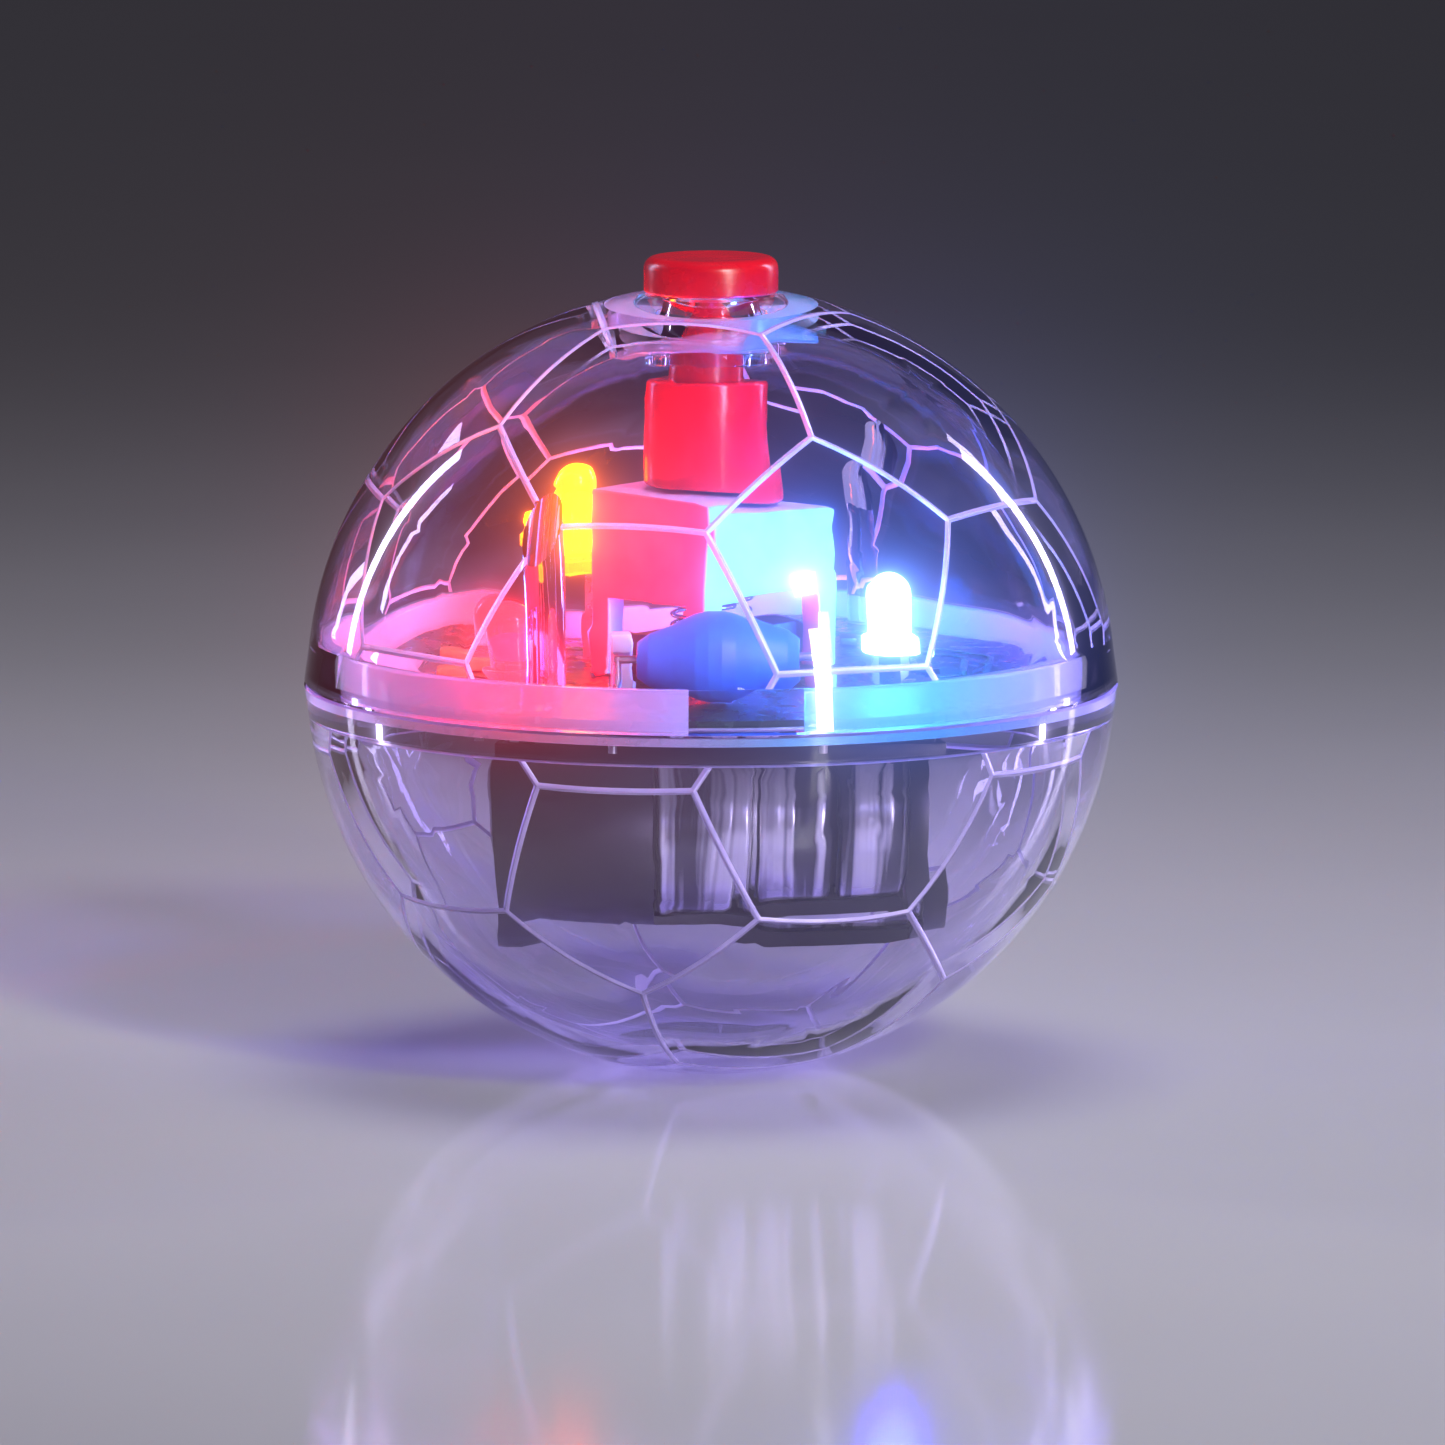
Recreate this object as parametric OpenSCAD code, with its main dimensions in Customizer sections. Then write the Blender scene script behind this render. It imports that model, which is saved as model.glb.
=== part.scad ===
// Clear push-button flashing ball, built from its separate pieces.
// Millimetres. +Z is up, Z = 0 is the flat foot, X = Y = 0 is the ball's axis.
// The front of the ball faces -Y.

/* [Ball] */
// Outside diameter of each half's sphere
ball_d = 50; // [44:0.5:62]
// How far each half's sphere centre lies past the seam
half_shift = 0.6; // [0:0.1:1.2]
// Radius of the flat foot
foot_r = 5.6; // [3:0.1:8]
// Wall at a panel's corner, where it is thinnest
wall_t = 1.0; // [0.8:0.1:2]
// Height of the raised band each side of the seam
rim_h = 2.0; // [1:0.1:3]
// How far the band stands out past the sphere at the seam
rim_out = 0.12; // [0:0.02:0.4]
// Turn of the upper panel pattern about Z
panel_turn = -68.4; // [-90:0.1:90]

/* [Seam] */
// Height of the lower half's lip inside the upper half
lip_h = 2.5; // [1.5:0.1:3.5]
// Thickness of the lip
lip_t = 1.2; // [0.8:0.1:2]
// Thickness of the upper half's wall outside the lip
seam_wall = 1.6; // [1.2:0.1:2.4]
// Radial gap between lip and upper half
lip_gap = 0.05; // [0.02:0.01:0.2]
// Width of the notch in the lip
notch_w = 6.8; // [4:0.2:9]
// X of the notch's centre
notch_x = 2.1; // [-4:0.1:4]

/* [Button] */
// Diameter of the button's cap
cap_d = 8.3; // [7:0.1:11]
// Height of the cap
cap_h = 2.2; // [1.6:0.1:4]
// Rounding of the cap's top edge
cap_round = 0.8; // [0.2:0.1:1]
// Diameter of the neck through the shell
neck_d = 5.0; // [4:0.1:6]
// Radial running gap between neck and shell
neck_gap = 0.06; // [0.02:0.01:0.1]
// Diameter of the plunger inside the ball
plunger_d = 8.2; // [7:0.1:10]
// Travel between pressed in and released
travel = 1.0; // [0.6:0.1:1.4]
// Gap left between plunger and switch housing when pressed in
press_gap = 0.3; // [0.2:0.1:1.5]
// Outside diameter of the thick collar
collar_d = 12.5; // [11:0.5:16]
// Outside diameter of the short tube under the collar
tube_d = 8.4; // [7.5:0.1:10]
// Length of the collar and tube, from the top of the ball
collar_len = 4.4; // [3.6:0.1:5]

/* [Switch] */
// Side of the square switch housing
switch_w = 10.8; // [8:0.2:12]
// Height of the housing's block
switch_h = 5.5; // [4:0.1:7]
// Length of the housing's corner legs
leg_h = 5.3; // [3:0.1:6]
// Turn of the housing about Z
switch_turn = 45; // [0:1:90]
// Side of the square stem
stem_w = 3.0; // [2.4:0.1:3.4]

/* [Board] */
// Thickness of the circuit board
board_t = 1.2; // [1:0.1:1.6]
// Radial gap round the board inside the lip
board_gap = 0.25; // [0.1:0.05:0.5]
// How far the board's underside lies below the seam
board_drop = 0.8; // [0.4:0.1:1.4]
// Width of the ledge under the board
ledge_w = 1.7; // [1.2:0.1:2.5]
// Diameter of the two clamp pillars
pillar_d = 2.4; // [1.4:0.1:2.8]

/* [Lights] */
// Diameter of a lamp's lens
lamp_d = 3.0; // [2.6:0.1:4]
// Height of a lamp's lens with its dome
lamp_h = 5.3; // [4:0.1:7]
// Spacing of a lamp's two legs
lamp_pitch = 2.0; // [1.6:0.1:2.54]

/* [Motion sensor] */
// Outside diameter of the sensor's sleeve
sensor_d = 6.0; // [4:0.1:6.4]
// Length of the sleeve
sensor_len = 9.6; // [8:0.2:12]
// Distance of the sensor in front of the middle
sensor_y = -16.2; // [-17:0.1:-9]

/* [Battery] */
// Diameter of one button cell
cell_d = 11.6; // [9:0.1:12]
// Thickness of one button cell
cell_t = 5.4; // [4:0.1:5.6]
// Wall of the battery holder
holder_t = 0.75; // [0.6:0.05:1.2]
// Length of the spring's room beside the cells
spring_room = 8.5; // [5:0.1:9]
// X of the stack's middle
stack_x = 4.6; // [2:0.1:6]

/* [Hidden] */
$fn = 120;

eps = 0.01;
ball_r = ball_d / 2;
seam_z = sqrt(ball_r * ball_r - foot_r * foot_r) - half_shift;
upper_c = seam_z - half_shift;
lower_c = seam_z + half_shift;
top_z = upper_c + ball_r;
rim_r = ball_r + rim_out;
rim_end_r = sqrt(ball_r * ball_r - (half_shift + rim_h) * (half_shift + rim_h)) + 0.02;
bevel = 0.15;
// A football pattern's corner, hexagon and pentagon distances from its centre
corner_r = ball_r - wall_t;
hex_r = corner_r * 0.91498;
pent_r = corner_r * 0.93924;

lip_out = ball_r - seam_wall - lip_gap;
lip_in = lip_out - lip_t;
board_r = lip_in - board_gap;
board_z = seam_z - board_drop;
board_top = board_z + board_t;
fit = 0.02;
ledge_z = board_z - 1.2;
ledge_r = board_r - ledge_w;

cap_z = top_z - (ball_r - sqrt(ball_r * ball_r - cap_d * cap_d / 4)) + 0.05;
seat_z = cap_z - 0.06;
tube_end = top_z - collar_len;
collar_end = tube_end + 1.0;
stop_gap = 0.1;
plunger_top = tube_end - stop_gap - travel;
housing_z = board_top + leg_h;
housing_top = housing_z + switch_h;
plunger_z = housing_top + press_gap;
neck_in = 3.0;
edge = 0.3;
bore_r = neck_d / 2 + neck_gap;
leg_w = 1.7;
slider_r = 2.8;
slider_z = housing_z + 0.9;
slider_t = 1.2;
base_w = switch_w - 2 * leg_w - 0.3;
base_h = 2.8;
spring_z = board_top + base_h;
pin_z = board_z - 0.8;
pin_w = 0.5;
hole_r = 0.42;

pillar_r = board_r - 1.75;
pillar_a = -119.4;

plate_z = board_z - 1.0;
plate_t = 1.2;
cell_gap = 0.15;
cell_r = cell_d / 2;
cell_z = plate_z - plate_t - cell_r - 0.05;
cell_pitch = cell_t + fit;
stack_len = 3 * cell_pitch;
stack_x0 = stack_x - stack_len / 2;
stack_x1 = stack_x + stack_len / 2;
contact_t = 0.3;
holder_x0 = stack_x0 - spring_room - holder_t;
holder_x1 = stack_x1 + contact_t + 0.1 + holder_t;
holder_in = cell_r + cell_gap;
holder_out = holder_in + holder_t;
post_r = 0.9;
pad_r = 0.75;

// Where the contact spring's tail rises, half a turn along the coil
spring_wire = 0.5;
spring_turns = 5;
tail_x = holder_x0 + holder_t + fit + spring_wire / 2
         + (spring_room - 2 * fit - spring_wire) * 0.5 / spring_turns;

red_at = [-12.6, -7.5];
blue_at = [11.2, -3.6];
blue_lift = 1.4;
red_lift = 0.4;
yellow_at = [-9.0, 6.9];
yellow_lift = 6.4;
post_y = max(holder_out - 1.4, -blue_at[1] + pad_r + post_r + fit);
plate_y = max(holder_out, post_y + post_r);
sensor_z = board_top + sensor_d / 2 + 0.05;
sensor_x = 0.4;
clip_at = [-5.4, -8.6];

// ---- shared shapes ----

module half_space(polar, az, d) {
  rotate([0, polar, az])
    translate([-60, -60, d - 120])
      cube([120, 120, 120]);
}

// The football pattern's flat-faced hollow, one point of it straight up
module panel_hollow() {
  intersection() {
    half_space(0, 0, pent_r);
    half_space(180, 0, pent_r);
    intersection_for (k = [0:4]) half_space(63.435, panel_turn + 72 * k, pent_r);
    intersection_for (k = [0:4]) half_space(116.565, panel_turn + 36 + 72 * k, pent_r);
    intersection_for (k = [0:4]) half_space(37.377, panel_turn + 36 + 72 * k, hex_r);
    intersection_for (k = [0:4]) half_space(79.188, panel_turn + 36 + 72 * k, hex_r);
    intersection_for (k = [0:4]) half_space(100.812, panel_turn + 72 * k, hex_r);
    intersection_for (k = [0:4]) half_space(142.623, panel_turn + 72 * k, hex_r);
  }
}

// The raised band above the seam, bevelled at the seam and fading into the sphere
module rim_band() {
  translate([0, 0, seam_z])
    cylinder(r1 = rim_r - bevel, r2 = rim_r, h = bevel);
  translate([0, 0, seam_z + bevel])
    cylinder(r1 = rim_r, r2 = rim_end_r, h = rim_h - bevel);
}

module at_polar(r, a) {
  translate([r * cos(a), r * sin(a), 0]) children();
}

// A square-wire leg standing on the board's underside side
module leg(x, y, z0, z1) {
  translate([x - pin_w / 2, y - pin_w / 2, z0]) cube([pin_w, pin_w, z1 - z0]);
}

module lens(at, lift) {
  translate([at[0], at[1], board_top + lift])
    rotate_extrude()
      union() {
        square([lamp_d / 2, lamp_h - lamp_d / 2]);
        square([lamp_d / 2 + 0.4, 1.0]);
        translate([0, lamp_h - lamp_d / 2])
          intersection() {
            circle(d = lamp_d);
            square([lamp_d, lamp_d]);
          }
      }
}

module lamp_legs(at, lift) {
  for (s = [-1, 1])
    leg(at[0] + s * lamp_pitch / 2, at[1], pin_z, board_top + lift - fit);
}

// ---- pieces ----

module upper_shell() {
  color([0.86, 0.86, 0.92, 0.3])
  difference() {
    union() {
      difference() {
        intersection() {
          union() {
            translate([0, 0, upper_c]) sphere(r = ball_r);
            rim_band();
          }
          translate([0, 0, seam_z]) cylinder(r = rim_r + 1, h = ball_r + 1);
        }
        translate([0, 0, upper_c]) panel_hollow();
        translate([0, 0, seam_z - 1])
          cylinder(r = lip_out + lip_gap, h = lip_h + 1.1);
      }
      intersection() {
        translate([0, 0, collar_end]) cylinder(d = collar_d, h = collar_len);
        translate([0, 0, upper_c]) sphere(r = ball_r - 0.5);
      }
      translate([0, 0, tube_end]) cylinder(d = tube_d, h = 2);
      intersection() {
        for (a = [pillar_a, pillar_a + 180])
          at_polar(pillar_r, a)
            translate([0, 0, board_top + fit]) cylinder(d = pillar_d, h = ball_r);
        translate([0, 0, upper_c]) sphere(r = ball_r - 0.5);
      }
    }
    translate([0, 0, tube_end - 1]) cylinder(r = bore_r, h = collar_len + 2);
    translate([0, 0, seat_z]) cylinder(d = cap_d + 0.6, h = 2);
  }
}

module lower_shell() {
  color([0.86, 0.86, 0.92, 0.3])
  difference() {
    union() {
      difference() {
        intersection() {
          union() {
            translate([0, 0, lower_c]) sphere(r = ball_r);
            mirror([0, 0, 1]) translate([0, 0, -2 * seam_z]) rim_band();
          }
          cylinder(r = rim_r + 1, h = seam_z);
        }
        translate([0, 0, lower_c]) panel_hollow();
        translate([0, 0, ledge_z]) cylinder(r = lip_in, h = ball_r);
      }
      translate([0, 0, ledge_z])
        cylinder(r = ball_r - seam_wall + 0.4, h = board_z - ledge_z);
      translate([0, 0, board_z - 0.1])
        cylinder(r = lip_out, h = seam_z + lip_h - board_z + 0.1);
    }
    translate([0, 0, ledge_z - 1]) cylinder(r = ledge_r, h = ball_r);
    translate([0, 0, board_z]) cylinder(r = lip_in, h = ball_r);
    translate([notch_x - notch_w / 2, -ball_r, seam_z + fit])
      cube([notch_w, ball_r, lip_h + 1]);
  }
}

module button_cap() {
  color([0.80, 0.04, 0.05])
  union() {
    translate([0, 0, cap_z])
      rotate_extrude()
        union() {
          square([cap_d / 2 - cap_round, cap_h]);
          square([cap_d / 2, cap_h - cap_round]);
          translate([cap_d / 2 - cap_round, cap_h - cap_round]) circle(r = cap_round);
        }
    translate([0, 0, plunger_top - neck_in])
      cylinder(d = neck_d, h = cap_z - plunger_top + neck_in + 0.2);
  }
}

module plunger() {
  color([0.80, 0.04, 0.05])
  difference() {
    union() {
      translate([0, 0, plunger_z + edge])
        cylinder(d = plunger_d, h = plunger_top - plunger_z - 2 * edge);
      translate([0, 0, plunger_z])
        cylinder(r1 = plunger_d / 2 - edge, r2 = plunger_d / 2, h = edge);
      translate([0, 0, plunger_top - edge])
        cylinder(r1 = plunger_d / 2, r2 = plunger_d / 2 - edge, h = edge);
    }
    translate([0, 0, plunger_top - neck_in - 0.1])
      cylinder(r = neck_d / 2 + fit, h = neck_in + 1);
    rotate([0, 0, switch_turn])
      translate([-stem_w / 2 - fit, -stem_w / 2 - fit, plunger_z - 1])
        cube([stem_w + 2 * fit, stem_w + 2 * fit, 3.2]);
  }
}

module switch_stem() {
  color([0.16, 0.16, 0.17])
  union() {
    rotate([0, 0, switch_turn])
      translate([-stem_w / 2, -stem_w / 2, slider_z + 0.4])
        cube([stem_w, stem_w, plunger_z + 2.1 - slider_z - 0.4]);
    translate([0, 0, slider_z]) cylinder(r = slider_r, h = slider_t);
  }
}

module switch_spring() {
  color([0.75, 0.76, 0.78])
  translate([0, 0, spring_z + fit])
    coil(2.0, 2.0, 0.32, 4, slider_z - spring_z - 2 * fit, 14);
}

// One thin slice across the wire at turn t of a coil
module coil_slice(ra, rb, wire, turns, len, t) {
  r = ra + (rb - ra) * t / turns;
  rotate([0, 0, 360 * t])
    translate([r, 0, wire / 2 + (len - wire) * t / turns])
      rotate([90, 0, 0])
        cylinder(d = wire, h = 0.04, center = true, $fn = 8);
}

// A coil along Z, from radius ra at the bottom to rb at the top
module coil(ra, rb, wire, turns, len, step) {
  for (i = [0:turns * step - 1])
    hull() {
      coil_slice(ra, rb, wire, turns, len, i / step);
      coil_slice(ra, rb, wire, turns, len, (i + 1) / step);
    }
}

module switch_housing() {
  color([0.93, 0.92, 0.89])
  rotate([0, 0, switch_turn])
  difference() {
    union() {
      translate([-switch_w / 2, -switch_w / 2, housing_z])
        cube([switch_w, switch_w, switch_h]);
      for (x = [-1, 1], y = [-1, 1])
        translate([x * (switch_w - leg_w) / 2 - leg_w / 2,
                   y * (switch_w - leg_w) / 2 - leg_w / 2, board_top + fit])
          cube([leg_w, leg_w, leg_h]);
    }
    translate([0, 0, housing_z - 1]) cylinder(r = slider_r + 0.3, h = switch_h);
    translate([-stem_w / 2 - 0.15, -stem_w / 2 - 0.15, housing_z])
      cube([stem_w + 0.3, stem_w + 0.3, switch_h + 1]);
  }
}

module switch_base() {
  color([0.12, 0.10, 0.09])
  rotate([0, 0, switch_turn])
  difference() {
    translate([-base_w / 2, -base_w / 2, board_top + fit])
      cube([base_w, base_w, base_h - fit]);
    for (x = [-1, 1], y = [-1, 0, 1])
      translate([x * 1.8, y * 1.8, board_top - 1])
        cylinder(r = 0.3, h = 2.2);
  }
}

module switch_pins() {
  color([0.82, 0.80, 0.74])
  rotate([0, 0, switch_turn])
    for (x = [-1, 1], y = [-1, 0, 1])
      translate([x * 1.8 - 0.2, y * 1.8 - 0.2, pin_z])
        cube([0.4, 0.4, board_top + 1.1 - pin_z]);
}

module circuit_board() {
  color([0.04, 0.22, 0.12])
  difference() {
    translate([0, 0, board_z + fit]) cylinder(r = board_r, h = board_t - 2 * fit);
    for (a = [red_at, blue_at, yellow_at], s = [-1, 1])
      translate([a[0] + s * lamp_pitch / 2, a[1], board_z - 1])
        cylinder(r = hole_r, h = board_t + 2);
    rotate([0, 0, switch_turn])
      for (x = [-1, 1], y = [-1, 0, 1])
        translate([x * 1.8, y * 1.8, board_z - 1])
          cylinder(r = hole_r, h = board_t + 2);
    for (s = [-1, 1])
      translate([sensor_x + s * (sensor_len / 2 + 1.2), sensor_y, board_z - 1])
        cylinder(r = hole_r, h = board_t + 2);
    translate([clip_at[0] - 0.8, clip_at[1] - 0.6, board_z - 1])
      cube([1.6, 1.2, board_t + 2]);
    translate([stack_x1 - 0.1, -1.1, board_z - 1]) cube([0.7, 2.2, board_t + 2]);
    translate([tail_x, 0, board_z - 1])
      cylinder(r = hole_r, h = board_t + 2);
  }
}

module lamp_red() {
  color([0.85, 0.10, 0.10, 0.8]) lens(red_at, red_lift);
}
module lamp_red_legs() {
  color([0.82, 0.80, 0.74]) lamp_legs(red_at, red_lift);
}
module lamp_blue() {
  color([0.15, 0.35, 0.95, 0.8]) lens(blue_at, blue_lift);
}
module lamp_blue_legs() {
  color([0.82, 0.80, 0.74]) lamp_legs(blue_at, blue_lift);
}
module lamp_yellow() {
  color([0.98, 0.75, 0.10, 0.8]) lens(yellow_at, yellow_lift);
}
module lamp_yellow_legs() {
  color([0.82, 0.80, 0.74]) lamp_legs(yellow_at, yellow_lift);
}

module sensor_sleeve() {
  color([0.05, 0.35, 0.75])
  translate([sensor_x - sensor_len / 2, sensor_y, sensor_z])
    rotate([0, 90, 0])
      difference() {
        cylinder(d = sensor_d, h = sensor_len);
        translate([0, 0, 0.8]) cylinder(d = sensor_d - 0.9, h = sensor_len - 1.6);
        translate([0, 0, -1]) cylinder(r = 0.36, h = sensor_len + 2);
      }
}

module sensor_coil() {
  color([0.80, 0.68, 0.35])
  translate([sensor_x - sensor_len / 2 + 0.82, sensor_y, sensor_z])
    rotate([0, 90, 0])
      coil(1.3, 1.3, 0.24, 8, sensor_len - 3.2, 10);
}

module sensor_pin() {
  color([0.82, 0.80, 0.74])
  union() {
    translate([sensor_x - sensor_len / 2 - 1.4, sensor_y, sensor_z])
      rotate([0, 90, 0]) cylinder(r = 0.25, h = sensor_len + 2.8);
    for (s = [-1, 1])
      translate([sensor_x + s * (sensor_len / 2 + 1.2), sensor_y, pin_z])
        cylinder(r = 0.25, h = sensor_z - pin_z + 0.2);
  }
}

module board_clip() {
  color([0.90, 0.88, 0.84])
  translate([clip_at[0], clip_at[1], 0])
    union() {
      translate([-0.7, -0.5, board_z - 0.6]) cube([1.4, 1.0, board_t + 4.4]);
      translate([-0.7, -1.3, board_top + 2.6]) cube([1.4, 1.3, 1.2]);
    }
}

module chip_blob() {
  color([0.05, 0.05, 0.05])
  translate([2.5, 12.5, board_top + fit])
    intersection() {
      translate([0, 0, -4.2]) sphere(r = 5.6);
      cylinder(r = 5, h = 3);
    }
}

module resistors() {
  color([0.10, 0.10, 0.11])
  for (p = [[8.6, 7.5, 0], [11.4, 7.5, 0], [-4.5, 12.2, 90]])
    translate([p[0], p[1], board_top + fit + 0.3])
      rotate([0, 0, p[2]])
        cube([1.25, 2.0, 0.55], center = true);
}

module capacitor() {
  color([0.62, 0.50, 0.34])
  translate([-15.5, 1.5, board_top + fit + 0.4])
    cube([2.0, 1.25, 0.75], center = true);
}

module solder_joints() {
  color([0.70, 0.70, 0.72])
  for (a = [red_at, blue_at, yellow_at], s = [-1, 1])
    translate([a[0] + s * lamp_pitch / 2, a[1], board_z + 0.01])
      difference() {
        translate([0, 0, -0.55]) cylinder(r1 = 0.45, r2 = pad_r, h = 0.55);
        translate([-pin_w / 2 - 0.01, -pin_w / 2 - 0.01, -1])
          cube([pin_w + 0.02, pin_w + 0.02, 2]);
      }
}

module battery_holder() {
  color([0.06, 0.06, 0.07])
  difference() {
    union() {
      translate([holder_x0, 0, cell_z])
        rotate([0, 90, 0]) cylinder(r = holder_out, h = holder_x1 - holder_x0);
      translate([holder_x0, -plate_y, plate_z - plate_t])
        cube([holder_x1 - holder_x0, 2 * plate_y, plate_t]);
      for (x = [holder_x0 + 1.4, holder_x1 - 1.4], y = [-1, 1])
        translate([x, y * post_y, plate_z - 0.5])
          cylinder(r = post_r, h = board_z - plate_z + 0.5);
    }
    translate([holder_x0 + holder_t, 0, cell_z])
      rotate([0, 90, 0]) cylinder(r = holder_in, h = stack_x1 + contact_t + 0.1 - holder_x0 - holder_t);
    translate([stack_x0 + 0.2, -holder_out - 1, cell_z - holder_out - 1])
      cube([stack_len - 0.4, holder_out + 0.2, 2 * holder_out + 1 - (holder_out - cell_r)]);
    translate([stack_x1 - 0.1, -1.2, plate_z - plate_t - 2])
      cube([0.8, 2.4, plate_t + 3]);
    translate([tail_x, 0, plate_z - plate_t - 2])
      cylinder(r = 0.5, h = plate_t + 3);
  }
}

module cell(i) {
  color([0.78, 0.78, 0.80])
  translate([stack_x0 + i * cell_pitch + fit / 2, 0, cell_z])
    rotate([0, 90, 0])
      rotate_extrude()
        union() {
          translate([0, 0.75]) square([cell_r, cell_t - 1.05]);
          translate([0, 0.75]) square([cell_r - 0.3, cell_t - 0.75]);
          square([cell_r - 0.95, cell_t / 2]);
          translate([cell_r - 0.3, cell_t - 0.3]) circle(r = 0.3);
        }
}

module cell_left() { cell(0); }
module cell_middle() { cell(1); }
module cell_right() { cell(2); }

module contact_spring() {
  color([0.78, 0.79, 0.80])
  union() {
    translate([holder_x0 + holder_t + fit, 0, cell_z])
      rotate([0, 90, 0])
        coil(3.6, 2.4, spring_wire, spring_turns, spring_room - 2 * fit, 14);
    translate([tail_x, 0, cell_z + 3.4])
      cylinder(r = 0.25, h = board_top - cell_z - 3.4 + 0.3, $fn = 12);
  }
}

module contact_plate() {
  color([0.78, 0.79, 0.80])
  union() {
    translate([stack_x1 + fit, 0, cell_z])
      rotate([0, 90, 0]) cylinder(r = 4.2, h = contact_t);
    translate([stack_x1 + fit, -1.0, cell_z])
      cube([contact_t, 2.0, board_top + 0.4 - cell_z]);
  }
}

upper_shell();
lower_shell();
button_cap();
plunger();
switch_stem();
switch_spring();
switch_housing();
switch_base();
switch_pins();
circuit_board();
lamp_red();
lamp_red_legs();
lamp_blue();
lamp_blue_legs();
lamp_yellow();
lamp_yellow_legs();
sensor_sleeve();
sensor_coil();
sensor_pin();
board_clip();
chip_blob();
resistors();
capacitor();
battery_holder();
cell_left();
cell_middle();
cell_right();
contact_spring();
contact_plate();
solder_joints();
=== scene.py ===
"""Looks for the clear push-button flashing ball, built round its CAD frame."""
import math

import bmesh
import bpy
from mathutils import Matrix, Vector


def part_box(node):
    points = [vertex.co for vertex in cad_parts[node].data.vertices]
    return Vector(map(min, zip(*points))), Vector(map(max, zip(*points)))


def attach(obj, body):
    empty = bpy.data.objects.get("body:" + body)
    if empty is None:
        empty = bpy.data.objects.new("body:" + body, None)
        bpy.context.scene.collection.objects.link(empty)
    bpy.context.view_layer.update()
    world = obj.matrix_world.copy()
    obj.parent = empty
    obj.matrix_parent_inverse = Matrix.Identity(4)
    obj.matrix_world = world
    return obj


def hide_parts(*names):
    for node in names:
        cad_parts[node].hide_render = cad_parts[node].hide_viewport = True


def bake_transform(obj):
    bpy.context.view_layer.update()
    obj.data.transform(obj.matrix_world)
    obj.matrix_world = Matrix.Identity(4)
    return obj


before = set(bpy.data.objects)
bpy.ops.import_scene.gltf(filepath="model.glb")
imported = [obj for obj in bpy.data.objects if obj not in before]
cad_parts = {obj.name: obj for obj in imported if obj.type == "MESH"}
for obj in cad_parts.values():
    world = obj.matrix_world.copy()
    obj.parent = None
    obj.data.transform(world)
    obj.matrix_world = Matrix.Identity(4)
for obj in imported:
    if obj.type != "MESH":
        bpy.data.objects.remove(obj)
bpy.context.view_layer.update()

MM = 0.001

# ---- sizes, in millimetres, the same as the CAD part's ----

BALL_R = 25.0
HALF_SHIFT = 0.6
FOOT_R = 5.6
WALL = 1.0
RIM_H = 2.0
RIM_OUT = 0.12
BEVEL = 0.15
PANEL_TURN = -68.4
SEAM_Z = math.sqrt(BALL_R**2 - FOOT_R**2) - HALF_SHIFT
UPPER_C = SEAM_Z - HALF_SHIFT
LOWER_C = SEAM_Z + HALF_SHIFT
TOP_Z = UPPER_C + BALL_R
CORNER_R = BALL_R - WALL
# Each flat panel is pushed out towards a ball of this radius, and this far past it
DOME_R = 23.5
DOMED = 1.25
EDGE_STEPS = 6
SHELL_STEPS = 192
LIP_OUT = 23.35
LIP_IN = 22.15
LIP_H = 2.5
BOARD_Z = SEAM_Z - 0.8
BOARD_TOP = BOARD_Z + 1.2
LEDGE_Z = BOARD_Z - 1.2
LEDGE_R = 20.2
CAP_R = 4.15
CAP_H = 2.2
NECK_R = 2.5
BORE_R = 2.56
CAP_Z = TOP_Z - (BALL_R - math.sqrt(BALL_R**2 - CAP_R**2)) + 0.05
SEAT_Z = CAP_Z - 0.06
TUBE_END = TOP_Z - 4.4
TUBE_R = 4.2
COLLAR_END = TUBE_END + 1.0
COLLAR_TOP = TOP_Z - 1.0
PLUNGER_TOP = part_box("plunger")[1].z / MM
PLUNGER_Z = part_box("plunger")[0].z / MM
PLUNGER_R = 4.1
PILLAR_R = 1.2
PILLAR_AT = 20.15
PILLAR_TURNS = (-119.4, 60.6)
COLLAR_R = 6.25
NOTCH_W = 6.8
NOTCH_X = 2.1
FIT = 0.05
HOLDER_DROP = 1.0
HOLDER_T = 1.2
CELL_R = 5.8
CELL_LID_R = 5.3
CELL_Z = BOARD_Z - HOLDER_DROP - HOLDER_T - CELL_R - FIT
LAMP_R = 1.5
LAMP_FLANGE_R = 1.9


# ---- colour and material helpers ----


def paint(hex_code):
    """An sRGB hex colour as linear red, green, blue and a full alpha."""
    parts = [int(hex_code[i : i + 2], 16) / 255 for i in (1, 3, 5)]
    return (*(c / 12.92 if c <= 0.04045 else ((c + 0.055) / 1.055) ** 2.4 for c in parts), 1.0)


def put(tree, kind, inputs=None, **settings):
    """Adds one node. An input given as a socket is linked, and anything else is its value."""
    node = tree.nodes.new(kind)
    for name, value in settings.items():
        setattr(node, name, value)
    for name, value in (inputs or {}).items():
        if isinstance(value, bpy.types.NodeSocket):
            tree.links.new(value, node.inputs[name])
        else:
            node.inputs[name].default_value = value
    return node


def new_material(name):
    material = bpy.data.materials.new(name)
    material.use_nodes = True
    material.node_tree.nodes.clear()
    return material, material.node_tree


def mottled(tree, low, high, size_mm):
    """A colour that drifts between two close hex shades over about size_mm."""
    place = put(tree, "ShaderNodeTexCoord").outputs["Object"]
    noise = put(tree, "ShaderNodeTexNoise", {"Vector": place, "Scale": 1000 / size_mm, "Detail": 3.0})
    ramp = put(tree, "ShaderNodeValToRGB", {"Fac": noise.outputs["Fac"]})
    ramp.color_ramp.elements[0].color = paint(low)
    ramp.color_ramp.elements[1].color = paint(high)
    ramp.color_ramp.elements[0].position = 0.35
    ramp.color_ramp.elements[1].position = 0.65
    return ramp.outputs["Color"]


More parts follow.
